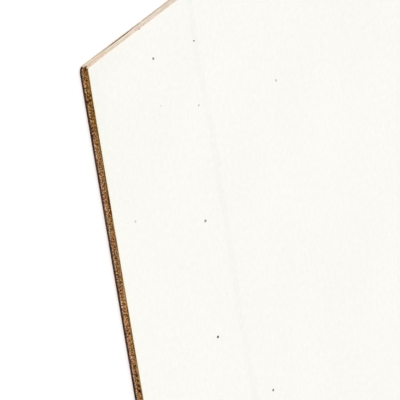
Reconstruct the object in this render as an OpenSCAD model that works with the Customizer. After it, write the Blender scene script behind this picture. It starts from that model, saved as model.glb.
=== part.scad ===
// White-faced plywood sheet, lying flat with its white face up.
//
// A sheet of thin plywood is glued up from wood veneers and sawn to size
// afterwards, so its layers all have the same outline and every edge is cut
// square through the whole stack. From the floor up the layers are the back
// veneer, the thick core veneer with its grain across the sheet, the face
// veneer, and the white facing bonded over it.
//
// Millimetres. The origin is the middle of the underside, +X runs along the
// sheet and the face grain, +Y runs across it, and +Z points up out of the
// white face.

/* [Sheet] */
// Length of the sheet, along the grain of the face and back veneers
sheet_length = 1220; // [300:5:3050]
// Width of the sheet, across that grain
sheet_width = 610; // [150:5:1530]

/* [Layers] */
// Thickness of the back veneer, which lies on the floor
back_thickness = 0.6; // [0.3:0.05:3]
// Thickness of the core veneer, whose grain runs across the sheet
core_thickness = 1.7; // [0.8:0.05:6]
// Thickness of the face veneer under the white facing
face_thickness = 0.5; // [0.3:0.05:3]
// Thickness of the white facing
facing_thickness = 0.2; // [0.1:0.05:1.5]

/* [Hidden] */

// Height of each glue line: each layer lies on the ones below it
core_bottom = back_thickness;
face_bottom = core_bottom + core_thickness;
facing_bottom = face_bottom + face_thickness;

// One layer of the stack, sawn to the outline of the sheet
module layer(bottom, thickness) {
    translate([-sheet_length / 2, -sheet_width / 2, bottom])
        cube([sheet_length, sheet_width, thickness]);
}

module back_veneer() {
    color("#5b4433") layer(0, back_thickness);
}

module core_veneer() {
    color("#9a6c42") layer(core_bottom, core_thickness);
}

module face_veneer() {
    color("#80633f") layer(face_bottom, face_thickness);
}

module white_facing() {
    color("#faf9f4") layer(facing_bottom, facing_thickness);
}

back_veneer();
core_veneer();
face_veneer();
white_facing();
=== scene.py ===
# %% [markdown]
# # A white-faced plywood sheet
#
# The sheet is thin plywood: a back veneer, a thick core veneer with its grain turned across the
# sheet, a face veneer, and a smooth white facing bonded on top. It lies flat on the floor with the
# white side up, and the camera looks down on one corner from some way off through a long lens.
#
# A flat sheet has hardly any shape of its own, so what makes it look real is small: the torn pores
# of the end grain, the clean streaks of the long grain, the crisp arris of the facing, and a few
# specks of dust that were caught in its surface. Lengths are in metres, and MM makes them from
# millimetres.

import math

import bpy
import numpy as np
from mathutils import Matrix, Vector


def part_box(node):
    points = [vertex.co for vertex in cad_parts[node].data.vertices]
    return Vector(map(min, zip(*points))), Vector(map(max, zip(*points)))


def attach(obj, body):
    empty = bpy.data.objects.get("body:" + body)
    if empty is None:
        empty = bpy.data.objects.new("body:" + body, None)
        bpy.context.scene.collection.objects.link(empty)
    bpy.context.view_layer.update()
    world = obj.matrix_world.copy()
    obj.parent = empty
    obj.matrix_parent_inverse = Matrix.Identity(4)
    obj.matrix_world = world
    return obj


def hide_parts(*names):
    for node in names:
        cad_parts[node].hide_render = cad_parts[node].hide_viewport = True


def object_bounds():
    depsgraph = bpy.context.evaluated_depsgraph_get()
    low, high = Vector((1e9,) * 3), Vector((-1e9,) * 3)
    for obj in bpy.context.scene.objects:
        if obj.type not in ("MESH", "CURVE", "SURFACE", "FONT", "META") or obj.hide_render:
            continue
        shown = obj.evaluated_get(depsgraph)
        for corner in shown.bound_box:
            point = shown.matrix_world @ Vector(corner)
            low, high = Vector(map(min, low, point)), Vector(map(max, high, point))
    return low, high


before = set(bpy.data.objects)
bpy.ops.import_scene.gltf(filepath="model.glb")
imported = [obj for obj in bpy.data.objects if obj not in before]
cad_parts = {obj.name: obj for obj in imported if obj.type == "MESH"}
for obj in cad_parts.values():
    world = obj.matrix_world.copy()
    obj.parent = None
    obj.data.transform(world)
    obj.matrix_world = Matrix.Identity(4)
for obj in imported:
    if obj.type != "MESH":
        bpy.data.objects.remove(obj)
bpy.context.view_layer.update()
MM = 0.001

# %% [markdown]
# ## Sizes
#
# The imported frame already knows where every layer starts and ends. The same numbers could be typed
# here once more, but then they would go wrong as soon as a solid changes. Reading them from the
# frame keeps each modelled layer exactly inside the solid that it stands for. The corner that the
# camera looks at is the one at the low end of X and Y, and places on the sheet are given from there
# in millimetres, as one would measure them with a rule.

# %% Read the sizes of the layers
LAYERS = ["back_veneer", "core_veneer", "face_veneer", "white_facing"]
low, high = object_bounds()
LENGTH, WIDTH, TOP = high.x - low.x, high.y - low.y, high.z
CORNER = Vector((low.x, low.y, TOP))


def from_corner(along, across, above=0.0):
    """A place measured in millimetres from the shown corner of the white face."""
    return CORNER + Vector((along, across, above)) * MM


def placed(name, data):
    """A new object in the scene."""
    thing = bpy.data.objects.new(name, data)
    bpy.context.scene.collection.objects.link(thing)
    return thing


for layer in LAYERS:
    bottom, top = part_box(layer)
    print(f"{layer}: {(top.z - bottom.z) / MM:.2f} mm thick")
print(f"sheet: {LENGTH / MM:.0f} by {WIDTH / MM:.0f} by {TOP / MM:.1f} mm")

# %% [markdown]
# ## Camera
#
# A sheet's corner could be shown from near by, but then its two edges would spread apart like a
# road. From well away, through a long lens, the lines of each sawn edge stay nearly parallel.
# The camera is placed by which way it stands from the corner, how high, how far off, and how it is
# rolled. It lies almost on its side, so that the long edge of the sheet runs down the view.

# %% Place the camera
AIM = from_corner(57.3, 45.92)
AZIMUTH, ELEVATION, ROLL = math.radians(-23.35), math.radians(29.6), math.radians(92.62)
LENS, DISTANCE = 900.0, 2.774
NEAREST_SEEN, FARTHEST_SEEN = 0.05, 100.0

back = Vector((
    math.sin(AZIMUTH) * math.cos(ELEVATION),
    -math.cos(AZIMUTH) * math.cos(ELEVATION),
    math.sin(ELEVATION),
))
level_right = Vector((0, 0, 1)).cross(back).normalized()
level_up = back.cross(level_right)
right = level_right * math.cos(ROLL) + level_up * math.sin(ROLL)
up = back.cross(right)
turn = Matrix((right, up, back)).transposed().to_4x4()

camera = placed("camera", bpy.data.cameras.new("camera"))
camera.data.lens = LENS
camera.data.clip_start, camera.data.clip_end = NEAREST_SEEN, FARTHEST_SEEN
camera.matrix_world = Matrix.Translation(AIM + back * DISTANCE) @ turn
bpy.context.scene.camera = camera
print("camera at", [round(c, 3) for c in AIM + back * DISTANCE])

# %% [markdown]
# ## Wiring nodes
#
# Materials and Geometry Nodes are graphs, and writing each link out in full hides what a graph
# does. These helpers each add one kind of node and hand back its output, so that a graph reads
# like a formula. They work in a material and in a geometry tree alike, and that matters here: the
# pores that the geometry sinks into the wood are the very pores that the material darkens.


# %% Helpers that add a node
def feed(tree, value, socket):
    """Link a socket's value, or set it if it is a plain number, vector or colour."""
    if isinstance(value, bpy.types.NodeSocket):
        tree.links.new(value, socket)
    else:
        socket.default_value = value


def add(tree, kind, *in_order, by_name=None, result=0, **settings):
    """Add one node with its settings and its inputs, in order or by name, and give one output."""
    node = tree.nodes.new(kind)
    for name, setting in settings.items():
        setattr(node, name, setting)
    for value, socket in zip(in_order, node.inputs):
        feed(tree, value, socket)
    for name, value in (by_name or {}).items():
        feed(tree, value, node.inputs[name])
    return node.outputs[result]


print("made feed() and add()")


# %% Helpers for numbers
def maths(tree, operation, *values):
    return add(tree, "ShaderNodeMath", *values, operation=operation)


def plus(tree, total, *more):
    for value in more:
        total = maths(tree, "ADD", total, value)
    return total


def minus(tree, first, second):
    return maths(tree, "SUBTRACT", first, second)


def times(tree, first, second):
    return maths(tree, "MULTIPLY", first, second)


def span(tree, value, start, end, to_start=0.0, to_end=1.0, soft=False):
    """Carry the span start..end over to another span, and hold it at the ends."""
    how = "SMOOTHSTEP" if soft else "LINEAR"
    given = (value, start, end, to_start, to_end)
    return add(tree, "ShaderNodeMapRange", *given, interpolation_type=how)


print("made maths(), plus(), minus(), times() and span()")


# %% Helpers for places
def vectors(tree, operation, *values, result="Vector"):
    return add(tree, "ShaderNodeVectorMath", *values, result=result, operation=operation)


def scaled(tree, vector, factor):
    given = {"Vector": vector, "Scale": factor}
    return add(tree, "ShaderNodeVectorMath", by_name=given, operation="SCALE")


def distance(tree, place, centre):
    return vectors(tree, "DISTANCE", place, centre, result="Value")


def axis(tree, place, name):
    return add(tree, "ShaderNodeSeparateXYZ", place, result=name)


def near(tree, place, centre, reach):
    """1 at a centre, and softly down to 0 at its reach."""
    return span(tree, distance(tree, place, centre), reach, 0.0, soft=True)


print("made vectors(), scaled(), distance(), axis() and near()")


# %% Helpers for patterns
SEED_STEP = (0.37, 0.51, 0.73)
# A noise mostly keeps between these two.
CLOUD_LOW, CLOUD_HIGH = 0.3, 0.7


def shifted(tree, place, seed):
    """The same place moved far off, so that one pattern gives another for each seed."""
    return vectors(tree, "ADD", place, tuple(seed * step for step in SEED_STEP))


def noise(tree, place, size, seed=0.0, detail=2.0, rough=0.5):
    """Cloudy noise with lumps of about the given size in metres, around 0.5."""
    given = {
        "Vector": shifted(tree, place, seed), "Scale": 1 / size, "Detail": detail,
        "Roughness": rough}
    return add(tree, "ShaderNodeTexNoise", by_name=given)


def vary(tree, cloud, least, most):
    """Carry a noise over to least..most."""
    return span(tree, cloud, CLOUD_LOW, CLOUD_HIGH, least, most)


def nearest(tree, place, size, seed=0.0):
    """How far the nearest of many scattered points is, in steps of their spacing."""
    given = {"Vector": shifted(tree, place, seed), "Scale": 1 / size}
    return add(tree, "ShaderNodeTexVoronoi", by_name=given, result="Distance")


print("noises are read from", CLOUD_LOW, "to", CLOUD_HIGH)


# %% Helpers for colours
def blend(tree, share, first, second, how="MIX"):
    """Mix two colours, which have the mix node's sockets number 6 and 7, and number 2 out."""
    given = {0: share, 6: first, 7: second}
    return add(tree, "ShaderNodeMix", by_name=given, result=2, data_type="RGBA", blend_type=how)


def ramp(tree, value, *stops):
    """A colour ramp through (place, colour) stops."""
    output = add(tree, "ShaderNodeValToRGB", value)
    marks = output.node.color_ramp.elements
    while len(marks) < len(stops):
        marks.new(0.5)
    for mark, (place, colour) in zip(marks, stops):
        mark.position, mark.color = place, colour
    return output


def paint(red, green, blue):
    """A colour as it looks on a screen, 0 to 255, in Blender's linear numbers."""
    def linear(c):
        c /= 255
        return c / 12.92 if c <= 0.04045 else ((c + 0.055) / 1.055) ** 2.4
    return (linear(red), linear(green), linear(blue), 1.0)


print("mid grey, 128 of 255, is", round(paint(128, 128, 128)[0], 3), "in linear numbers")

# %% [markdown]
# ## Wood as one solid pattern
#
# A veneer is a slice through a bundle of fibres. Each face of it could be painted apart, but then
# nothing would meet at the corners. If the pattern is drawn in three dimensions instead, and
# stretched along the fibres, every face that cuts it looks right without being told: across the
# fibres the pores show as small dark pits, and along them the same pores show as long thin lines.
# The core's fibres run across the sheet (Y), those of the two outer veneers along it (X).

# %% The pattern of pores and growth
FIBRES = {"back_veneer": "X", "core_veneer": "Y", "face_veneer": "X"}
SQUEEZE = {"X": (0.06, 1.0, 1.0), "Y": (1.0, 0.06, 1.0)}
SEEDS = {"back_veneer": 11.0, "core_veneer": 21.0, "face_veneer": 31.0}
PORE_SPACING = 0.45 * MM
WIDE_PORE, NARROW_PORE, PORE_HEART = 0.5, 0.25, 0.05
LUMP_SIZE = 0.48 * MM
# Dark lumps are open wood with wide pores, and light lumps are dense wood with narrow ones.
OPEN_WOOD, DENSE_WOOD = 0.35, 0.65
# What each pattern adds to its layer's seed, so that no two patterns fall together.
OWN_SEED = {
    "pores": 0, "drift": 2, "tears": 3, "hues": 4, "lumps": 5, "figure": 6, "voids": 7,
    "rich in voids": 8, "fine": 9,
}


def seed_of(layer, pattern):
    return SEEDS[layer] + OWN_SEED[pattern]


def squeezed(tree, place, layer):
    """The place with its layer's fibre direction squeezed, which draws a pattern out along it."""
    return vectors(tree, "MULTIPLY", place, SQUEEZE[FIBRES[layer]])


def wood_pattern(tree, place, layer):
    """How open the pores are here (0 to 1), and the grain's light and dark lumps round 0.5."""
    drawn_out = squeezed(tree, place, layer)
    lumps = noise(tree, drawn_out, LUMP_SIZE, seed_of(layer, "lumps"), detail=3.0, rough=0.65)
    reach = span(tree, lumps, OPEN_WOOD, DENSE_WOOD, WIDE_PORE, NARROW_PORE)
    away = nearest(tree, drawn_out, PORE_SPACING, seed_of(layer, "pores"))
    return span(tree, away, reach, PORE_HEART, soft=True), lumps


print("pores about", PORE_SPACING / MM, "mm apart")

# %% [markdown]
# ## A layer cut by the saw
#
# Every layer is a closed plate: two broad flat faces and a narrow sawn band all round. A plain box
# cut up evenly would spend its faces on the flats, where nothing happens, and only the band needs
# a fine mesh. So the plate is built ring by ring. Fine columns, a quarter of a millimetre apart, go
# round the outline, and a broad face is closed by a border of wide flat faces that each take up
# forty columns, with one flat face in the middle. That gives the edge all the detail and leaves the
# flats almost free.
#
# The builder also writes what later steps need: which way is outwards at each vertex, where the saw
# cuts across the fibres, what kind of surface each face is, and a map. The map lays the band out in
# strips, so that an exported picture keeps the grain of an edge that is four hundred times as long
# as it is thick.

# %% The fine outline that every layer shares
PITCH = 0.25 * MM
GROUP = 40
COLUMNS = [GROUP * round(side / (GROUP * PITCH)) for side in (LENGTH, WIDTH, LENGTH, WIDTH)]
ROUND = sum(COLUMNS)
TURNS = np.array([(-1, -1), (1, -1), (1, 1), (-1, 1)])
HALF = np.array((LENGTH, WIDTH)) / 2


def straight_outline():
    """Points round the sheet from the shown corner, and which way is outwards at each."""
    points, outwards = [], []
    for side, outward in enumerate([(0, -1), (1, 0), (0, 1), (-1, 0)]):
        share = np.arange(COLUMNS[side])[:, None] / COLUMNS[side]
        start, end = TURNS[side] * HALF, TURNS[(side + 1) % 4] * HALF
        points.append(start * (1 - share) + end * share)
        outwards.append(np.tile(np.array(outward, float), (COLUMNS[side], 1)))
    return np.concatenate(points), np.concatenate(outwards)


STRAIGHT, SQUARE_OUT = straight_outline()
print(ROUND, "columns round the sheet")

# %% Corners worn by handling, most at the underside and least at the hard white face
# Their radii in millimetres at the underside and at the white face, the shown corner first.
WORN = [(2.0, 0.7), (1.2, 0.4), (2.0, 0.5), (1.5, 0.4)]
HAIR = 1e-9


def outline(height):
    """The outline at a height, and its outward directions, with every corner rounded."""
    points, outwards = STRAIGHT.copy(), SQUARE_OUT.copy()
    for turn, (below, above) in zip(TURNS, WORN):
        radius = (below + (above - below) * height / TOP) * MM
        centre = turn * (HALF - radius)
        past = (points - centre) * turn
        on_arc = (past > -HAIR).all(1)
        spoke = turn * past[on_arc] / np.linalg.norm(past[on_arc], axis=1)[:, None]
        points[on_arc] = centre + spoke * radius
        outwards[on_arc] = spoke
    return points, outwards


print("corners rounded by", WORN, "mm below and above")

# %% The map's strips
MAP_SIDE = 1024
STRIPS = 24
STRIP_COLUMNS = ROUND // STRIPS
EDGE_FINENESS = MAP_SIDE / (STRIP_COLUMNS * PITCH)
GAP = 2 / MAP_SIDE


def strip_places(column, depth, girth):
    """Where the band's corners lie on the map, from their columns and their way down the band."""
    strip = column[:, :1] // STRIP_COLUMNS
    u = GAP + (1 - 2 * GAP) * (column - strip * STRIP_COLUMNS) / STRIP_COLUMNS
    tall = girth * EDGE_FINENESS / MAP_SIDE
    return np.stack([u, (strip + 1) * 2 * GAP + strip * tall + tall * depth / girth], -1)


def band_height(girth):
    """How much of the map's height all strips of a band take up."""
    return STRIPS * (girth * EDGE_FINENESS / MAP_SIDE + 2 * GAP) + 2 * GAP


print(f"edges are mapped at {EDGE_FINENESS * MM:.1f} steps to the millimetre")


# %% The rings of a layer and its vertices
def rings_of(layer, rows, eased_top, eased_bottom, sunk):
    """How far in and how high each ring of fine columns lies, from the top down."""
    bottom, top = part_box(layer)[0].z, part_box(layer)[1].z - sunk
    heights = np.linspace(top - eased_top, bottom + eased_bottom, rows + 1)
    rings = [(0.0, height) for height in heights]
    if eased_top:
        rings.insert(0, (eased_top, top))
    if eased_bottom:
        rings.append((eased_bottom, bottom))
    return rings


def ring_vertices(rings, fibres, turned):
    """Each ring's places, its outward directions, and 1 where the saw cuts across the fibres.

    Round a worn corner one kind of cut gives way to the other. The long side's kind begins where
    the outward direction has turned towards that side by the given share.
    """
    places, outward, across = [], [], []
    for inset, height in rings:
        points, outwards = outline(height)
        places.append(np.column_stack([points - outwards * inset, np.full(ROUND, height)]))
        outward.append(np.column_stack([outwards, np.zeros(ROUND)]))
        on_long_side = np.abs(outwards[:, 1]) > turned
        across.append((on_long_side == (fibres == "Y")).astype(float))
    return places, outward, across


INNER = STRAIGHT[::GROUP] * (1 - GROUP * PITCH / HALF)


def flat_vertices(rings):
    """One coarse ring for each broad face, a little in from the edge."""
    return [np.column_stack([INNER, np.full(len(INNER), rings[end][1])]) for end in (0, -1)]


print(len(INNER), "vertices close each broad face")

# %% The faces of the band
SURFACES = {"end_grain": 0, "long_grain": 1, "top": 2, "underside": 3}


def band_faces(rings, across):
    """The band's faces, ring by ring, with their kind of surface and their corners on the map."""
    down = np.concatenate([[0], np.cumsum(np.linalg.norm(np.diff(rings, axis=0), axis=1))])
    here, beyond = np.arange(ROUND), (np.arange(ROUND) + 1) % ROUND
    columns = np.column_stack([here, here + 1, here + 1, here])
    faces, kinds, maps = [], [], []
    for ring in range(len(rings) - 1):
        above, below = ring * ROUND, (ring + 1) * ROUND
        square = (below + here, below + beyond, above + beyond, above + here)
        faces.extend(np.column_stack(square).tolist())
        cut = across[above + here] > 0.5
        kinds.append(np.where(cut, SURFACES["end_grain"], SURFACES["long_grain"]))
        depth = np.array([down[ring + 1]] * 2 + [down[ring]] * 2)
        maps.append(strip_places(columns, depth[None], down[-1]).reshape(-1, 2))
    return faces, kinds, maps, band_height(down[-1])


print("kinds of surface:", *SURFACES)

# %% The broad faces
SHOWN_SHARE = 0.92


def flat_faces(kind, ring, coarse):
    """A broad face: one face in the middle and a border of wide faces, joined to a fine ring."""
    made = [list(range(coarse, coarse + len(INNER)))]
    for group in range(len(INNER)):
        border = [ring * ROUND + (group * GROUP + step) % ROUND for step in range(GROUP + 1)]
        made.append(border + [coarse + (group + 1) % len(INNER), coarse + group])
    return [face[::-1] for face in made] if kind == "underside" else made


def flat_map(places, begin, room):
    """The broad face laid on its part of the map, which begins at a height and has some room."""
    flat = places[:, :2] / (LENGTH, WIDTH) + 0.5
    return np.array((GAP, begin + 2 * GAP)) + np.array((1 - 2 * GAP, room - 4 * GAP)) * flat


print("the side that is seen gets", SHOWN_SHARE, "of the map that the band leaves free")


# %% Build one layer
def written(mesh, name, kind, place, values):
    """Write one named fact for every vertex or face of a mesh."""
    field = "vector" if kind == "FLOAT_VECTOR" else "value"
    mesh.attributes.new(name, kind, place).data.foreach_set(field, values)


def sawn_layer(layer, rows, eased_top=0.0, eased_bottom=0.0, sunk=0.0, shown="top", turned=0.3):
    """A closed plate in the place of a layer, with its band in rows and its arrises eased."""
    rings = rings_of(layer, rows, eased_top, eased_bottom, sunk)
    places, outward, across = ring_vertices(rings, FIBRES.get(layer, "X"), turned)
    places = np.concatenate(places + flat_vertices(rings))
    outward = np.concatenate(outward + [np.zeros((2 * len(INNER), 3))])
    across = np.concatenate(across + [np.zeros(2 * len(INNER))])

    faces, kinds, maps, begin = band_faces(rings, across)
    free = 1 - begin
    for kind, ring in (("top", 0), ("underside", len(rings) - 1)):
        share = SHOWN_SHARE if kind == shown else 1 - SHOWN_SHARE
        coarse = len(rings) * ROUND + (len(INNER) if kind == "underside" else 0)
        made = flat_faces(kind, ring, coarse)
        faces.extend(made)
        kinds.append(np.full(len(made), SURFACES[kind]))
        maps.append(flat_map(places[np.concatenate(made)], begin, share * free))
        begin += share * free

    mesh = bpy.data.meshes.new(f"{layer}_sawn")
    mesh.from_pydata(places.tolist(), [], faces)
    written(mesh, "surface", "INT", "FACE", np.concatenate(kinds))
    written(mesh, "outward", "FLOAT_VECTOR", "POINT", outward.ravel())
    written(mesh, "cut_across", "FLOAT", "POINT", across)
    layer_map = mesh.uv_layers.new(name="OFBake")
    layer_map.uv.foreach_set("vector", np.concatenate(maps).ravel())
    print(f"{layer}: {len(places)} vertices, {len(faces)} faces")
    return placed(f"{layer}_sawn", mesh)


# %% [markdown]
# ## Materials: how sawn wood gets its look
#
# A picture of wood could be wrapped round each piece, but it would repeat along an edge that is
# metres long. Here every wood surface is mixed from the solid pattern instead, in small steps, and
# each step stands for one thing that happens to real veneer:
#
# - fibres that are lighter and darker, with pores between them, and wider voids in poor stretches;
# - figure, the long bands that a sliced face shows, on the broad sides;
# - fibres that are a little redder or yellower, and slow light and dark stretches along an edge;
# - a tint that changes from the bottom to the top of a layer;
# - a corner that hands and damp have darkened, with painted shade at its very tip, and glue
#   squeezed out of a joint;
# - a few spots that have a place of their own: torn fibres, whose hollows are painted dark as
#   shade, a brown spot on the corner and a grey spot in a nick.


# %% The plain end of every material
BUMP_HEIGHT = 0.1 * MM


def shader(name, colour, roughness, bump=None, strength=0.0, specular=0.3):
    """One Principled shader, with an optional bump."""
    material = bpy.data.materials.new(name)
    material.use_nodes = True
    tree = material.node_tree
    body = tree.nodes["Principled BSDF"].inputs
    body["Roughness"].default_value = roughness
    body["Specular IOR Level"].default_value = specular
    feed(tree, colour(tree), body["Base Color"])
    if bump:
        given = {"Strength": strength, "Distance": BUMP_HEIGHT, "Height": bump(tree)}
        feed(tree, add(tree, "ShaderNodeBump", by_name=given), body["Normal"])
    return material


def object_place(tree):
    return add(tree, "ShaderNodeTexCoord", result="Object")


def share_of_height(tree, place, layer):
    """How high a place is in its layer, from 0 at the bottom to 1 at the top."""
    bottom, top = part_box(layer)
    return span(tree, axis(tree, place, "Z"), bottom.z, top.z)


def from_edges(tree, place):
    """How far a place is from the nearest long edge, and from the nearest short one."""
    across, along = (maths(tree, "ABSOLUTE", axis(tree, place, name)) for name in "YX")
    return minus(tree, WIDTH / 2, across), minus(tree, LENGTH / 2, along)


def along_edge(tree, place):
    """How far a place on a sawn edge is from the nearest corner."""
    return maths(tree, "MAXIMUM", *from_edges(tree, place))


print("bumps are", BUMP_HEIGHT / MM, "mm high")

# %% Fibres, pores and voids
FINE_SIZE = 0.35 * MM
LUMP_SHARE = 0.65
VOID_SPACING, VOID_HEART = 1.2 * MM, 0.06
NARROW_VOID, WIDE_VOID = 0.14, 0.48
# Stretches of the edge that are poor and rich in voids.
STRETCH_SIZE = 7 * MM
POOR, RICH = 0.4, 0.62


def with_grain(tree, place, layer, shades, spread, pore):
    """Light and dark fibres through three shades, and the pores between them."""
    pores, lumps = wood_pattern(tree, place, layer)
    fine = noise(tree, place, FINE_SIZE, seed_of(layer, "fine"))
    lumps = times(tree, lumps, LUMP_SHARE)
    tone = plus(tree, lumps, times(tree, fine, 1 - LUMP_SHARE))
    stops = zip((0.5 - spread, 0.5, 0.5 + spread), [paint(*shade) for shade in shades])
    return blend(tree, pores, ramp(tree, tone, *stops), paint(*pore))


def with_voids(tree, place, layer, made, strength, pore):
    """Wider holes between the fibres, more in some stretches of the edge than in others."""
    stretches = noise(tree, place, STRETCH_SIZE, seed_of(layer, "rich in voids"))
    reach = span(tree, stretches, POOR, RICH, NARROW_VOID, WIDE_VOID)
    away = nearest(tree, squeezed(tree, place, layer), VOID_SPACING, seed_of(layer, "voids"))
    void = span(tree, away, reach, VOID_HEART, soft=True)
    return blend(tree, times(tree, void, strength), made, paint(*pore))


print("voids about", VOID_SPACING / MM, "mm apart")

# %% Bands of figure, and slow changes of colour
FIGURE_SQUEEZE = {"X": (0.03, 1.0, 1.0), "Y": (1.0, 0.03, 1.0)}
FIGURE_SIZE = 11 * MM
HUE_SIZE = 2.2 * MM
HUES = [(0.35, (1.06, 0.97, 1.0, 1.0)), (0.65, (0.95, 1.02, 0.94, 1.0))]


def multiplied(tree, made, tint, share=1.0):
    return blend(tree, share, made, tint, "MULTIPLY")


def with_figure(tree, place, layer, made, strength):
    """Long bands, drawn out along the fibres more than the pores are."""
    drawn_out = vectors(tree, "MULTIPLY", place, FIGURE_SQUEEZE[FIBRES[layer]])
    bands = noise(tree, drawn_out, FIGURE_SIZE, seed_of(layer, "figure"), detail=4.0, rough=0.6)
    return vectors(tree, "MULTIPLY", made, vary(tree, bands, 1 - strength, 1 + strength))


def with_hues(tree, place, layer, made):
    """Fibres that are a little redder or yellower, a few millimetres of each."""
    hue = noise(tree, place, HUE_SIZE, seed_of(layer, "hues"), detail=1.0)
    return multiplied(tree, made, ramp(tree, hue, *HUES))


def with_drift(tree, place, made, strength, size, seed):
    """Slow light and dark stretches along an edge."""
    slow = noise(tree, place, size, seed)
    return vectors(tree, "MULTIPLY", made, vary(tree, slow, 1 - strength, 1 + strength))


print("figure about", FIGURE_SIZE / MM, "mm wide, hues about", HUE_SIZE / MM, "mm")

# %% Tints by height and near a corner
CORNER_REACH = 32 * MM
CORNER_START, CORNER_RISE = 0.15, 0.5 * MM


def with_tint(tree, place, layer, made, stops):
    """A tint from the bottom of the layer, 0, to its top, 1."""
    return multiplied(tree, made, ramp(tree, share_of_height(tree, place, layer), *stops))


def with_corner(tree, place, layer, made, stops, least):
    """A tint from a corner, 0, to 32 mm away from it, 1. At the layer's bottom it may be weaker."""
    bottom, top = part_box(layer)
    share = span(tree, along_edge(tree, place), 0.0, CORNER_REACH)
    start = bottom.z + CORNER_START * (top.z - bottom.z)
    amount = span(tree, axis(tree, place, "Z"), start, start + CORNER_RISE, least, 1.0)
    return multiplied(tree, made, ramp(tree, share, *stops), amount)


print("tints reach", CORNER_REACH / MM, "mm from a corner")

# %% Glue squeezed out of the joint between the back and the core
GLUE_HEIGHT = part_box("core_veneer")[0].z
GLUE_HEART = 0.06 * MM
EVEN_GLUE = 0.75
# Where it shows on the short edge: millimetres from the corner, and how strongly.
GLUE_ALONG = [(0, 0.0), (9, 0.12), (14.5, 0.45), (18, 0.95), (26.5, 1.0), (29.5, 0.55), (33, 0.3)]
GLUE_SPAN = 50


def broken_glue(tree, place):
    """How strong the stain is along the short edge, where it comes and goes."""
    along = minus(tree, axis(tree, place, "Y"), low.y)
    stops = [(at / GLUE_SPAN, (much, much, much, 1.0)) for at, much in GLUE_ALONG]
    return ramp(tree, maths(tree, "DIVIDE", along, GLUE_SPAN * MM), *stops)


def with_glue(tree, place, made, colour, strength, middle, reach):
    """A stained line along the joint, soft towards its reach, even or broken."""
    if callable(strength):
        strength = strength(tree, place)
    off = minus(tree, axis(tree, place, "Z"), middle)
    line = span(tree, maths(tree, "ABSOLUTE", off), reach, GLUE_HEART, soft=True)
    return blend(tree, times(tree, line, strength), made, colour)


# Its colour, its strength, the height of its middle and its reach.
GLUE_ON_LONG = (paint(42, 20, 10), EVEN_GLUE, GLUE_HEIGHT + 0.05 * MM, 0.24 * MM)
GLUE_ON_SHORT = (paint(88, 68, 50), broken_glue, GLUE_HEIGHT + 0.15 * MM, 0.4 * MM)
print(f"glue line {GLUE_HEIGHT / MM:.1f} mm up")

# %% Spots that have a place of their own
# The first colour is painted shade, for the hollows of torn fibres.
PAINTED_TEAR_SHADE, CORNER_SPOT_BROWN, NICK_GREY = paint(36, 4, 0), paint(104, 64, 26), paint(112, 104, 92)
SPOT_HEART, SPOT_STRENGTH = 0.3, 0.9
SMALL_TEAR, LARGE_TEAR = 0.5 * MM, 0.85 * MM
TEAR_IN = 0.12
NICK_ACROSS = 29.5
# Torn fibres on the long edge: millimetres along it, millimetres up it, and their reach.
TEARS = [
    (0.5, 1.8, SMALL_TEAR), (8.0, 2.2, SMALL_TEAR), (9.5, 2.0, SMALL_TEAR),
    (10.0, 1.0, SMALL_TEAR), (20.0, 0.8, SMALL_TEAR), (88.0, 2.0, SMALL_TEAR),
    (90.5, 2.0, SMALL_TEAR), (92.5, 2.0, SMALL_TEAR), (94.0, 1.9, LARGE_TEAR),
    (95.5, 1.9, LARGE_TEAR),
]
DENTS = [(from_corner(along, TEAR_IN, up - TOP / MM), reach) for along, up, reach in TEARS]
# A grey spot in the nick, and a brown spot on the shown corner.
SPOTS = [
    (from_corner(0, NICK_ACROSS, -0.22), 0.45 * MM, NICK_GREY),
    (from_corner(0.1, 1.0, -1.3), 0.75 * MM, CORNER_SPOT_BROWN),
]
# Each torn place gets painted shade in its hollow.
SPOTS += [(centre, reach, PAINTED_TEAR_SHADE) for centre, reach in DENTS]


def with_spots(tree, place, made):
    """Each spot is solid near its middle and soft at its rim."""
    for centre, reach, colour in SPOTS:
        away = distance(tree, place, centre)
        share = span(tree, away, reach, reach * SPOT_HEART, 0.0, SPOT_STRENGTH, soft=True)
        made = blend(tree, share, made, colour)
    return made


print(len(SPOTS), "spots with a place of their own")

# %% A wood surface, step by step
GENTLE_DRIFT = (0.1, 25 * MM)
SAWN_ROUGHNESS, SAWN_BUMP, SAWN_SPECULAR = 0.85, 0.4, 0.05


def wood(layer, surface, shades, pore, spread=0.12, voids=0.0, figure=0.0, tint=(), corner=(),
         corner_least=1.0, glue=(), drift=GENTLE_DRIFT, drift_seed=None):
    """Make a wood surface and keep it. The steps that it doesn't ask for are left out."""
    def colour(tree):
        place = object_place(tree)
        made = with_grain(tree, place, layer, shades, spread, pore)
        if voids:
            made = with_voids(tree, place, layer, made, voids, pore)
        if figure:
            made = with_figure(tree, place, layer, made, figure)
        made = with_hues(tree, place, layer, made)
        if tint:
            made = with_tint(tree, place, layer, made, tint)
        if corner:
            made = with_corner(tree, place, layer, made, corner, corner_least)
        if glue:
            made = with_glue(tree, place, made, *glue)
        made = with_drift(tree, place, made, *drift, drift_seed or seed_of(layer, "drift"))
        return with_spots(tree, place, made)

    def height(tree):
        pores, lumps = wood_pattern(tree, object_place(tree), layer)
        return minus(tree, lumps, pores)

    WOODS[layer, surface] = shader(
        f"{layer} {surface}", colour, SAWN_ROUGHNESS, height, SAWN_BUMP, specular=SAWN_SPECULAR)


WOODS = {}
print("sawn wood has a roughness of", SAWN_ROUGHNESS)
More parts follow.
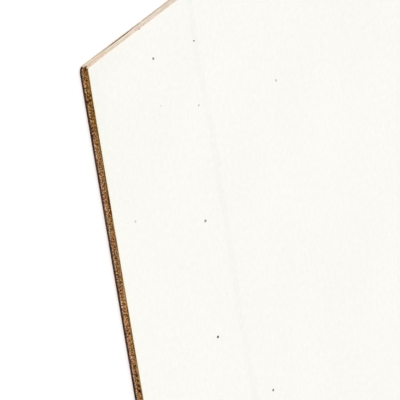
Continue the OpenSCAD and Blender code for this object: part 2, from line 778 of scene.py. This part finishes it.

# %% [markdown]
# ## The three veneers' colours
#
# Each layer of a real sheet is its own slice of wood, and the saw shows it in three ways: across
# the fibres as end grain, along them as long grain, and flat. One colour for all would be simpler,
# but it is the change from dark end grain to pale long grain round a corner that says plywood. End
# grain drinks in light between its fibres, so the long edge, where the core shows its end grain, is
# brown, and the short edge is pale. The face veneer's long grain, just above, is as brown as the
# core. The back veneer's long grain there is dark wood with painted shade along the floor on top,
# so it is nearly black, with the glue line above it.
#
# The brown edge keeps the same slow light and dark stretches through core and face veneer, so both
# use one seed, picked because its darker stretches lie well.

# %% Tints that the veneers share
PLAIN = (1.0, 1.0, 1.0, 1.0)
HANDLED, CLEAN = (0.94, 0.91, 0.84, 1.0), (1.1, 1.11, 1.09, 1.0)
# These two make the back veneer's long grain darker towards the corner.
DARKEST_AT_CORNER, DARKER_NEAR_CORNER = (0.6, 0.56, 0.56, 1.0), (0.7, 0.68, 0.7, 1.0)
# The first two here are painted shade at the very tip of a worn corner, which turns to the light.
PAINTED_TIP_SHADE, PAINTED_TIP_HALF_SHADE, ORANGE = (0.36, 0.3, 0.22, 1.0), (0.6, 0.52, 0.4, 1.0), (1.04, 0.97, 0.68, 1.0)
SOAKED, SOAKED_FACE = (0.91, 0.88, 0.62, 1.0), (0.58, 0.54, 0.38, 1.0)
WARM = (1.06, 0.94, 0.74, 1.0)
BROWN_STRETCHES, BLACK_STRETCHES = 457.0, 159.0
print("the darkest corner keeps", PAINTED_TIP_SHADE[:3], "of red, green and blue")

# %% The back veneer
wood(
    "back_veneer", "end grain", pore=(162, 144, 129),
    shades=[(188, 175, 160), (207, 195, 181), (222, 212, 200)],
    corner=[(0.1, HANDLED), (0.8, PLAIN)], glue=GLUE_ON_SHORT, drift=(0.08, 12 * MM))
# The back veneer's long grain: dark wood, with painted shade along the floor on top.
wood(
    "back_veneer", "long grain", pore=(26, 10, 2), spread=0.18,
    shades=[(50, 25, 12), (91, 58, 39), (128, 92, 66)],
    corner=[(0.0, DARKEST_AT_CORNER), (0.2, DARKER_NEAR_CORNER), (0.45, PLAIN)], glue=GLUE_ON_LONG,
    drift=(0.3, 25 * MM), drift_seed=BLACK_STRETCHES)
wood(
    "back_veneer", "flat", pore=(96, 62, 38), figure=0.3,
    shades=[(128, 92, 62), (160, 120, 84), (184, 146, 106)])
print(len(WOODS), "surfaces on the back veneer")

# %% The core veneer
PALE_FOOT, PALE_LINE = paint(254, 248, 252), paint(254, 249, 252)
TAN, LIGHT_TAN = paint(220, 191, 153), paint(230, 208, 174)
COOL_FOOT, GREY_BAND = paint(250, 252, 253), paint(237, 236, 237)
wood(
    "core_veneer", "end grain", pore=(34, 10, 0), spread=0.085, voids=0.92,
    shades=[(62, 28, 0), (178, 139, 98), (248, 220, 188)],
    tint=[(0.1, PALE_FOOT), (0.26, PALE_LINE), (0.5, TAN), (1.0, LIGHT_TAN)],
    # The first two stops are painted shade at the corner's very tip.
    corner=[
        (0.0, PAINTED_TIP_SHADE), (0.03, PAINTED_TIP_HALF_SHADE), (0.07, ORANGE), (0.22, ORANGE), (0.32, SOAKED),
        (0.45, SOAKED), (0.75, PLAIN)],
    corner_least=0.4, glue=GLUE_ON_LONG, drift=(0.16, 16 * MM), drift_seed=BROWN_STRETCHES)
wood(
    "core_veneer", "long grain", pore=(208, 192, 172),
    shades=[(226, 210, 193), (241, 230, 214), (250, 243, 231)],
    tint=[(0.0, COOL_FOOT), (0.45, PLAIN), (0.62, GREY_BAND), (0.84, GREY_BAND), (1.0, PLAIN)],
    corner=[(0.36, HANDLED), (0.52, PLAIN), (0.62, CLEAN), (0.84, CLEAN), (1.0, PLAIN)],
    glue=GLUE_ON_SHORT, drift=(0.03, 25 * MM))
print(len(WOODS), "surfaces with the core veneer's")

# %% The face veneer
wood(
    "face_veneer", "end grain", pore=(197, 181, 167),
    shades=[(215, 202, 190), (235, 223, 213), (247, 237, 227)],
    corner=[(0.0, WARM), (0.05, PLAIN), (0.2, HANDLED), (0.8, PLAIN)], drift=(0.08, 25 * MM))
wood(
    "face_veneer", "long grain", pore=(40, 18, 0), spread=0.1, voids=0.75,
    shades=[(64, 34, 6), (137, 106, 66), (193, 161, 116)],
    # The first stop is painted shade at the corner's very tip.
    corner=[
        (0.0, PAINTED_TIP_HALF_SHADE), (0.06, SOAKED_FACE), (0.24, SOAKED_FACE), (0.36, SOAKED), (0.75, PLAIN)],
    drift=(0.16, 16 * MM), drift_seed=BROWN_STRETCHES)
print(len(WOODS), "surfaces with the face veneer's")

# %% The flat sides that the sheet hides
for layer in ("core_veneer", "face_veneer"):
    wood(
        layer, "flat", pore=(150, 118, 86), figure=0.2,
        shades=[(180, 150, 118), (204, 178, 146), (220, 198, 168)])
print(len(WOODS), "surfaces in all")

# %% [markdown]
# ## Torn grain
#
# A saw tears wood more than it cuts it: pores stay open as pits, and now and then a small tuft is
# pulled out of the end grain. Along the grain it leaves a much smoother face with shallow lines.
# Bump alone could shade this, but it wouldn't be there in the shape. This is a rule that covers
# metres of edge, so a Geometry Nodes tree does it. It pushes each vertex of the band inwards by a
# depth read from the wood's own pattern, never outwards, so the layer stays inside its solid. Ten
# chosen torn places, all within 100 mm of the shown corner, get a dent each. Then the tree hands
# out the materials by the kind of surface.


# %% A geometry tree with named inputs
def geometry_tree(name, **inputs):
    """A new tree with inputs of each kind, its inputs' sockets by name, and its result's."""
    tree = bpy.data.node_groups.new(name, "GeometryNodeTree")
    for kind, labels in {"Geometry": ["Geometry"], **inputs}.items():
        for label in labels:
            tree.interface.new_socket(name=label, in_out="INPUT", socket_type="NodeSocket" + kind)
    tree.interface.new_socket(name="Geometry", in_out="OUTPUT", socket_type="NodeSocketGeometry")
    given = tree.nodes.new("NodeGroupInput").outputs
    result = tree.nodes.new("NodeGroupOutput").inputs[0]
    return tree, {socket.name: socket for socket in given if socket.name}, result


def settle(piece, tree, **values):
    """Run a tree on a piece with these inputs, and keep the result as a plain mesh."""
    modifier = piece.modifiers.new(tree.name, "NODES")
    modifier.node_group = tree
    for item in tree.interface.items_tree:
        key = item.name.lower().replace(" ", "_")
        if item.in_out == "INPUT" and key in values:
            modifier[item.identifier] = values[key]
    graph = bpy.context.evaluated_depsgraph_get()
    mesh = bpy.data.meshes.new_from_object(
        piece.evaluated_get(graph), preserve_all_data_layers=True, depsgraph=graph)
    piece.modifiers.remove(modifier)
    piece.data = mesh
    print(f"{piece.name}: {len(mesh.polygons)} faces after {tree.name}")


print("made geometry_tree() and settle()")


# %% Steps that the trees share
def vertex_place(tree):
    return add(tree, "GeometryNodeInputPosition")


def stored(tree, name, kind="FLOAT"):
    """A value that the builder wrote on the mesh."""
    given = {"Name": name}
    return add(
        tree, "GeometryNodeInputNamedAttribute", by_name=given, result="Attribute", data_type=kind)


def realized(tree, geometry):
    return add(tree, "GeometryNodeRealizeInstances", geometry)


def moved(tree, geometry, offset):
    given = {"Geometry": geometry, "Offset": offset}
    return add(tree, "GeometryNodeSetPosition", by_name=given)


def push_inwards(tree, geometry, depth):
    """Move the band's vertices in by a depth, against their outward direction."""
    inwards = times(tree, depth, -1.0)
    return moved(tree, geometry, scaled(tree, stored(tree, "outward", "FLOAT_VECTOR"), inwards))


print("made the steps that find and move vertices")


# %% Steps that hand out materials
def wear(tree, geometry, material, surface=None):
    """Give a material to all faces, or to those of one kind of surface."""
    given = {"Geometry": geometry, "Material": material}
    if surface:
        pair = {2: stored(tree, "surface", "INT"), 3: SURFACES[surface]}
        given["Selection"] = add(
            tree, "FunctionNodeCompare", by_name=pair, data_type="INT", operation="EQUAL")
    return add(tree, "GeometryNodeSetMaterial", by_name=given)


def dressed(tree, geometry, flat, end_grain, long_grain):
    """Hand out the materials by the kind of surface."""
    shape = wear(tree, realized(tree, geometry), flat)
    shape = wear(tree, shape, end_grain, "end_grain")
    return wear(tree, shape, long_grain, "long_grain")


print("made dressed(), which gives each kind of surface its material")

# %% The torn grain tree
TEAR_SIZE = 2.5 * MM
TORN_FROM, TORN_FULLY = 0.56, 0.7
ROUGHNESS_SHARE = 0.4


def torn_grain(layer):
    tree, given, result = geometry_tree(
        f"torn grain of {layer}", Float=["Pit Depth", "Tear Depth", "Line Depth", "Dent Depth"],
        Material=["End Grain", "Long Grain", "Flat"])
    place = vertex_place(tree)
    pores, lumps = wood_pattern(tree, place, layer)
    tufts = noise(tree, squeezed(tree, place, layer), TEAR_SIZE, seed_of(layer, "tears"))
    tears = span(tree, tufts, TORN_FROM, TORN_FULLY, soft=True)
    rough = times(tree, lumps, ROUGHNESS_SHARE)
    pits = times(tree, plus(tree, pores, rough), given["Pit Depth"])
    torn = plus(tree, pits, times(tree, tears, given["Tear Depth"]))
    lines = times(tree, pores, given["Line Depth"])
    across = stored(tree, "cut_across")
    along = minus(tree, 1.0, across)
    depth = plus(tree, times(tree, torn, across), times(tree, lines, along))
    for centre, reach in DENTS:
        dent = near(tree, place, centre, reach)
        depth = plus(tree, depth, times(tree, dent, given["Dent Depth"]))
    shape = push_inwards(tree, given["Geometry"], depth)
    shape = dressed(tree, shape, given["Flat"], given["End Grain"], given["Long Grain"])
    tree.links.new(shape, result)
    return tree


print("torn patches are about", TEAR_SIZE / MM, "mm wide")

# %% Build and tear the three veneers
VENEERS = {
    "back_veneer": dict(rows=3, eased_bottom=0.2 * MM, shown="underside"),
    "core_veneer": dict(rows=5),
    "face_veneer": dict(rows=2, turned=0.65),
}
for layer, facts in VENEERS.items():
    veneer = sawn_layer(layer, **facts)
    settle(
        veneer, torn_grain(layer),
        pit_depth=0.09 * MM, tear_depth=0.12 * MM, line_depth=0.03 * MM, dent_depth=0.2 * MM,
        end_grain=WOODS[layer, "end grain"], long_grain=WOODS[layer, "long grain"],
        flat=WOODS[layer, "flat"])
    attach(veneer, "root")
    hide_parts(layer)

# %% [markdown]
# ## The white facing
#
# The facing is a hard white skin, a fifth of a millimetre thick. Plain white paint would look like
# paper, because a real skin is satin, not glossy, and not perfectly even: there is the faintest
# mottle, and one long joint of the veneer below leaves a shallow dip in it, whose shade is painted
# as a slightly greyer line that runs the length of the sheet. Near the sawn border it looks a
# little warmer, because the wood shows through where the skin is thin. All of that is mixed from
# noise and from the distance to the edges, so it fits a sheet of any size.

# %% Faint marks in the facing
# Each noise's size and seed.
MOTTLE, CLOUDS, WANDER = (1.6 * MM, 41.0), (35 * MM, 42.0), (28 * MM, 46.0)
MOTTLE_SPAN, CLOUD_SPAN = (0.972, 1.022), (0.99, 1.005)
# The joint is shown by painted shade: how far it lies from the edge, how far it wanders, how dark.
JOINT_FROM_EDGE, JOINT_WANDER, JOINT_SHADE = 57.5 * MM, 2.5 * MM, 0.023
# How far off the joint its painted shade begins, and where it is full.
JOINT_RIM, JOINT_HEART = 2.4 * MM, 0.8 * MM
HANDLED_GREY = 0.02
HANDLED_REACH, HANDLED_FULL = 32 * MM, 14 * MM
HANDLED_BORDER, BORDER_FULL = 9 * MM, 2 * MM


def mottled(tree, place):
    """Fine mottle and wide clouds, both very faint."""
    mottle = noise(tree, place, *MOTTLE, detail=3.0, rough=0.7)
    clouds = noise(tree, place, *CLOUDS, detail=1.0)
    return times(tree, vary(tree, mottle, *MOTTLE_SPAN), vary(tree, clouds, *CLOUD_SPAN))


def joint_dip_shade(tree, place):
    """Painted shade over the veneer joint below: a soft line that wanders a little."""
    wander = span(tree, noise(tree, place, *WANDER), 0.0, 1.0, -JOINT_WANDER, JOINT_WANDER)
    off = minus(tree, axis(tree, place, "Y"), low.y + JOINT_FROM_EDGE)
    off = maths(tree, "ABSOLUTE", plus(tree, off, wander))
    line = span(tree, off, JOINT_RIM, JOINT_HEART, soft=True)
    return times(tree, line, JOINT_SHADE)


def handled_grey(tree, from_long, from_short):
    """Handled corners are a trace greyer, close to their edges."""
    border, reach = (maths(tree, how, from_long, from_short) for how in ("MINIMUM", "MAXIMUM"))
    near_corner = span(tree, reach, HANDLED_REACH, HANDLED_FULL, soft=True)
    near_edge = span(tree, border, HANDLED_BORDER, BORDER_FULL, soft=True)
    return times(tree, times(tree, near_corner, near_edge), HANDLED_GREY)


print("the joint shows", JOINT_FROM_EDGE / MM, "mm from the long edge")

# %% The face of the facing
FACING_WHITE = paint(251, 250, 244)
IVORY, PALE_IVORY = paint(255, 249, 224), paint(254, 249, 240)
WARM_BORDER = 1.6 * MM
# How far along the brown edge its border's yellow fades, and what is left of it.
YELLOW_FADES, YELLOW_LEFT = 90 * MM, 0.6
GRIT = (0.6 * MM, 44.0)


def facing_colour(tree):
    place = object_place(tree)
    from_long, from_short = from_edges(tree, place)
    shade = minus(tree, mottled(tree, place), joint_dip_shade(tree, place))
    shade = minus(tree, shade, handled_grey(tree, from_long, from_short))
    # The warm border, a little yellower along the brown edge.
    yellow = span(tree, from_long, WARM_BORDER, 0.0, soft=True)
    yellow = times(tree, yellow, span(tree, from_short, 0.0, YELLOW_FADES, 1.0, YELLOW_LEFT))
    pale = span(tree, from_short, WARM_BORDER, 0.0, soft=True)
    made = blend(tree, pale, blend(tree, yellow, FACING_WHITE, IVORY), PALE_IVORY)
    return vectors(tree, "MULTIPLY", made, shade)


def facing_bump(tree):
    return noise(tree, object_place(tree), *GRIT, detail=4.0)


FACING = shader(
    "white facing", facing_colour, roughness=0.42, bump=facing_bump, strength=0.05, specular=0.35)
print("the border is warm for", WARM_BORDER / MM, "mm")

# %% The cut edge of the facing
# A noise's size and seed. Its height, like all heights here, is a share of the thickness.
RAG, RAG_HEIGHT = (0.7 * MM, 45.0), 0.25
STAIN = [(0.25, paint(190, 166, 136)), (0.6, PALE_IVORY)]
# How much lower the stain ends: a stretch's start and end from the corner, and the share at each.
PAST_CORNER = (3 * MM, 9 * MM, -0.4, 0.12)
FURTHER_ALONG = (20 * MM, 110 * MM, 0.0, 0.5)


def cut_edge_colour(tree):
    """Ivory above, and stained by the glue and the face veneer below.

    The stain climbs highest beside a corner, and less and less further along.
    """
    place = object_place(tree)
    along = along_edge(tree, place)
    lowered = span(tree, along, *PAST_CORNER, soft=True)
    lowered = plus(tree, lowered, span(tree, along, *FURTHER_ALONG))
    ragged = vary(tree, noise(tree, place, *RAG), -RAG_HEIGHT, RAG_HEIGHT)
    height = plus(tree, share_of_height(tree, place, "white_facing"), ragged, lowered)
    return with_spots(tree, place, ramp(tree, height, *STAIN))


FACING_EDGE = shader("white facing cut edge", cut_edge_colour, roughness=0.6)
print("the stain on the facing's cut edge fades over", FURTHER_ALONG[1] / MM, "mm")

# %% [markdown]
# ## Chips along the arris
#
# The saw leaves the brittle facing with a crisp arris and, here and there, a tiny chip. Cutting
# each chip out by hand would take days on metres of edge. The same kind of tree as for the veneers
# does it: noise along the edge passes a threshold at a few places, and there the facing is pushed
# in. One shallow nick has a place of its own on the short edge, and a grey spot is painted in it.

# %% The chipped arris tree
LEVEL = (1.0, 1.0, 0.0)
# Each noise's size and seed.
CHIPS, RIPPLES = (1.6 * MM, 51.0), (0.9 * MM, 52.0)
CHIPPED_FROM, CHIPPED_FULLY = 0.66, 0.8
RIPPLE_DEPTH = 0.04 * MM


def chipped_arris():
    tree, given, result = geometry_tree(
        "chipped arris", Float=["Chip Depth", "Nick Depth", "Nick Width"], Vector=["Nick Place"],
        Material=["Cut Edge", "Flat"])
    place = vertex_place(tree)
    level = vectors(tree, "MULTIPLY", place, LEVEL)
    chips = noise(tree, level, *CHIPS, detail=3.0, rough=0.7)
    chips = span(tree, chips, CHIPPED_FROM, CHIPPED_FULLY)
    ripple = noise(tree, level, *RIPPLES, detail=3.0)
    nick = near(tree, place, given["Nick Place"], given["Nick Width"])
    depth = plus(
        tree, times(tree, chips, given["Chip Depth"]), times(tree, ripple, RIPPLE_DEPTH),
        times(tree, nick, given["Nick Depth"]))
    shape = push_inwards(tree, given["Geometry"], depth)
    shape = dressed(tree, shape, given["Flat"], given["Cut Edge"], given["Cut Edge"])
    tree.links.new(shape, result)
    return tree


print("the arris ripples by up to", RIPPLE_DEPTH / MM, "mm")

# %% Build and chip the facing
SPECK_HEIGHT = 0.015 * MM
facing = sawn_layer("white_facing", rows=1, eased_top=0.04 * MM, sunk=SPECK_HEIGHT)
settle(
    facing, chipped_arris(), chip_depth=0.3 * MM, nick_place=from_corner(0, NICK_ACROSS),
    nick_depth=0.15 * MM, nick_width=0.5 * MM, cut_edge=FACING_EDGE, flat=FACING)
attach(facing, "root")
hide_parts("white_facing")

# %% [markdown]
# ## Specks
#
# Dust that settles on the facing while it is pressed stays in it as dark specks, about a half to
# one and a half millimetres long. They could be dots in the facing's colour, but they are real
# little lumps, so they are geometry: a Geometry Nodes tree scatters points over the face with a
# fixed seed, sets a flattened pebble on each, and gives every pebble its own size, shape, turn and
# tone. Nine near the shown corner have chosen places and all lie the same way, and the scatter
# leaves that corner clear for them.

# %% Speck material
NEAR_BLACK, MID_GREY, PALE_GREY = paint(40, 36, 32), paint(115, 111, 105), paint(216, 214, 209)
TONES = [(0.0, NEAR_BLACK), (0.5, MID_GREY), (1.0, PALE_GREY)]
FLECKS, FLECK_SPAN = (0.1 * MM, 61.0), (0.8, 1.15)


def speck_colour(tree):
    tone = add(tree, "ShaderNodeAttribute", result="Fac", attribute_name="tone")
    flecks = vary(tree, noise(tree, object_place(tree), *FLECKS), *FLECK_SPAN)
    return vectors(tree, "MULTIPLY", ramp(tree, tone, *TONES), flecks)


SPECK = shader("speck", speck_colour, roughness=0.7)
print("specks run from near black to pale grey, with", len(TONES), "tones to mix from")

# %% Chosen specks: millimetres along and across from the corner, length, shape and tone
CHOSEN = [
    (10.5, 34.0, 1.25, 0.6, 0.6), (14.0, 56.5, 1.1, 0.4, 0.5), (24.5, 34.0, 0.85, 0.5, 1.0),
    (32.0, 53.5, 1.1, 0.6, 0.95), (41.5, 96.5, 1.3, 0.6, 0.95), (49.5, 11.0, 1.1, 0.7, 1.0),
    (64.0, 47.0, 1.45, 0.6, 0.7), (97.5, 43.5, 1.2, 0.65, 0.0), (124.0, 68.0, 1.15, 0.75, 0.6),
]
CHOSEN_TURN = math.radians(67)
BED_MARGIN = 2 * MM
FACTS = ("size", "tone", "turn", "shape")


def speck_bed():
    """A flat face to scatter over, and one loose vertex for each chosen speck."""
    level = TOP - SPECK_HEIGHT
    x, y = LENGTH / 2 - BED_MARGIN, WIDTH / 2 - BED_MARGIN
    places = [(-x, -y, level), (x, -y, level), (x, y, level), (-x, y, level)]
    facts = [(0.0,) * len(FACTS)] * len(places)
    for along, across, length, shape, tone in CHOSEN:
        spot = from_corner(along, across)
        places.append((spot.x, spot.y, level))
        facts.append((length * MM, tone, CHOSEN_TURN, shape))
    mesh = bpy.data.meshes.new("specks")
    mesh.from_pydata(places, [], [(0, 1, 2, 3)])
    for name, values in zip(FACTS, zip(*facts)):
        written(mesh, name, "FLOAT", "POINT", values)
    return placed("specks", mesh)


print(len(CHOSEN), "specks have chosen places")

# %% Helpers for points
def at_random(tree, smallest, largest, seed):
    """A random number for each point. Plain numbers use the node's sockets 2 and 3, and 1 out."""
    given = {2: smallest, 3: largest, "Seed": seed}
    return add(tree, "FunctionNodeRandomValue", by_name=given, result=1)


def noted(tree, geometry, name, value):
    """Keep a value with each point, under a name."""
    given = {"Geometry": geometry, "Name": name, "Value": value}
    return add(tree, "GeometryNodeStoreNamedAttribute", by_name=given, data_type="FLOAT")


print("made at_random() and noted()")

# %% Points for the scattered specks and the chosen ones
CLEAR_SIDE = 190 * MM
SLIMMEST = 0.5


def scattered_points(tree, given):
    """Points all over the face, except in the corner that has chosen specks."""
    bed = {"Mesh": given["Geometry"], "Density": given["Density"], "Seed": given["Seed"]}
    points = add(tree, "GeometryNodeDistributePointsOnFaces", by_name=bed)
    place = vertex_place(tree)
    past_x = maths(tree, "GREATER_THAN", axis(tree, place, "X"), given["Clear To X"])
    past_y = maths(tree, "GREATER_THAN", axis(tree, place, "Y"), given["Clear To Y"])
    in_corner = minus(tree, 1.0, maths(tree, "MAXIMUM", past_x, past_y))
    points = add(tree, "GeometryNodeDeleteGeometry", points, in_corner)
    size = (given["Smallest"], given["Largest"])
    spans = (size, (0.0, 1.0), (0.0, math.tau), (SLIMMEST, 1.0))
    for seed, (name, ends) in enumerate(zip(FACTS, spans), 1):
        points = noted(tree, points, name, at_random(tree, *ends, seed))
    return points


def chosen_points(tree, given):
    """The chosen specks come in as loose vertices that already know all four facts."""
    own = maths(tree, "GREATER_THAN", stored(tree, "size"), 0.0)
    return add(tree, "GeometryNodeMeshToPoints", given["Geometry"], own)


print("the scatter keeps", CLEAR_SIDE / MM, "mm each way from the corner clear")

# %% One pebble, and the tree that sets it on every point
PEBBLE_LUMPS, PEBBLE_TRIM = (0.6, 62.0), 0.6


def pebble(tree):
    """A ball one metre across, dented by noise, to be scaled down to a speck."""
    ball = add(tree, "GeometryNodeMeshIcoSphere", by_name={"Radius": 0.5, "Subdivisions": 2})
    place = vertex_place(tree)
    dents = minus(tree, noise(tree, place, *PEBBLE_LUMPS), PEBBLE_TRIM)
    return moved(tree, ball, scaled(tree, place, dents))


def together(tree, *values):
    """One vector from three numbers."""
    return add(tree, "ShaderNodeCombineXYZ", *values)


def speck_tree():
    tree, given, result = geometry_tree(
        "specks", Int=["Seed"], Material=["Material"],
        Float=["Density", "Smallest", "Largest", "Height", "Clear To X", "Clear To Y"])
    both = tree.nodes.new("GeometryNodeJoinGeometry")
    tree.links.new(scattered_points(tree, given), both.inputs[0])
    tree.links.new(chosen_points(tree, given), both.inputs[0])
    length = stored(tree, "size")
    breadth = times(tree, length, stored(tree, "shape"))
    specks = {
        "Points": both.outputs[0], "Instance": pebble(tree),
        "Rotation": together(tree, 0.0, 0.0, stored(tree, "turn")),
        "Scale": together(tree, length, breadth, given["Height"])}
    shape = realized(tree, add(tree, "GeometryNodeInstanceOnPoints", by_name=specks))
    tree.links.new(wear(tree, shape, given["Material"]), result)
    return tree


print("scattered specks are", SLIMMEST, "to 1 times as wide as long")

# %% Scatter and set down the specks
specks = speck_bed()
settle(
    specks, speck_tree(), density=330.0, seed=7, smallest=0.4 * MM, largest=0.95 * MM,
    height=2 * SPECK_HEIGHT, clear_to_x=low.x + CLEAR_SIDE, clear_to_y=low.y + CLEAR_SIDE,
    material=SPECK)
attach(specks, "root")

# %% [markdown]
# ## Floor, light and background
#
# The floor and the background look white, and the object is lit softly from all round, as in a
# light tent, with a gentle main light from beyond the short edge, so that the short edge is bright
# and the long edge a little darker. A surface that faces up then renders at about the colour it was
# given. More light would turn the floor white too, but the sheet would burn out with it. So the
# camera sees the floor with some white added, which hides everything in it but the contact shadow.
# The floor itself is a trace pink, and only that shadow shows it.


# %% What the camera sees as background
def seen_as_background(tree):
    """1 for what the camera sees, also in a reflection or through glass, and 0 for the light."""
    rays = tree.nodes.new("ShaderNodeLightPath").outputs
    seen = maths(tree, "MAXIMUM", rays["Is Camera Ray"], rays["Is Glossy Ray"])
    return maths(tree, "MAXIMUM", seen, rays["Is Transmission Ray"])


print("made seen_as_background()")

# %% Floor
FLOOR_HALF = 40.0
FLOOR_COLOUR = (0.925, 0.88, 0.875, 1.0)
FLOOR_GLOW = 0.28


def floor_material():
    material = bpy.data.materials.new("floor")
    material.use_nodes = True
    tree = material.node_tree
    tree.nodes.clear()
    end = tree.nodes.new("ShaderNodeOutputMaterial")
    diffuse = add(tree, "ShaderNodeBsdfDiffuse", FLOOR_COLOUR)
    glow = times(tree, seen_as_background(tree), FLOOR_GLOW)
    glow = add(tree, "ShaderNodeEmission", by_name={"Strength": glow})
    feed(tree, add(tree, "ShaderNodeAddShader", diffuse, glow), end.inputs["Surface"])
    return material


mesh = bpy.data.meshes.new("floor")
mesh.from_pydata([(*(turn * FLOOR_HALF).tolist(), 0.0) for turn in TURNS], [], [(0, 1, 2, 3)])
mesh.materials.append(floor_material())
floor = placed("floor", mesh)
print("floor", 2 * FLOOR_HALF, "m wide")

# %% Soft light all round, and white behind
AMBIENT = 0.85
WHITE = (1.0, 1.0, 1.0, 1.0)
world = bpy.data.worlds.new("studio")
bpy.context.scene.world = world
world.use_nodes = True
tree = world.node_tree
sky = tree.nodes["Background"]
sky.inputs["Color"].default_value = WHITE
strength = span(tree, seen_as_background(tree), 0.0, 1.0, AMBIENT, 1.0)
feed(tree, strength, sky.inputs["Strength"])
print("light all round at", AMBIENT)

# %% The main light
TOWARDS_LIGHT = Vector((-0.6, -0.15, 0.78))
LAMP_POWER, LAMP_SPREAD = 0.6, math.radians(25)
lamp = bpy.data.lights.new("main light", "SUN")
lamp.energy, lamp.angle = LAMP_POWER, LAMP_SPREAD
main_light = placed("main light", lamp)
main_light.rotation_euler = TOWARDS_LIGHT.to_track_quat("Z", "Y").to_euler()
print("main light from", list(TOWARDS_LIGHT))

# %% Colour
bpy.context.scene.view_settings.view_transform = "Standard"
print("colours are shown as they are written")
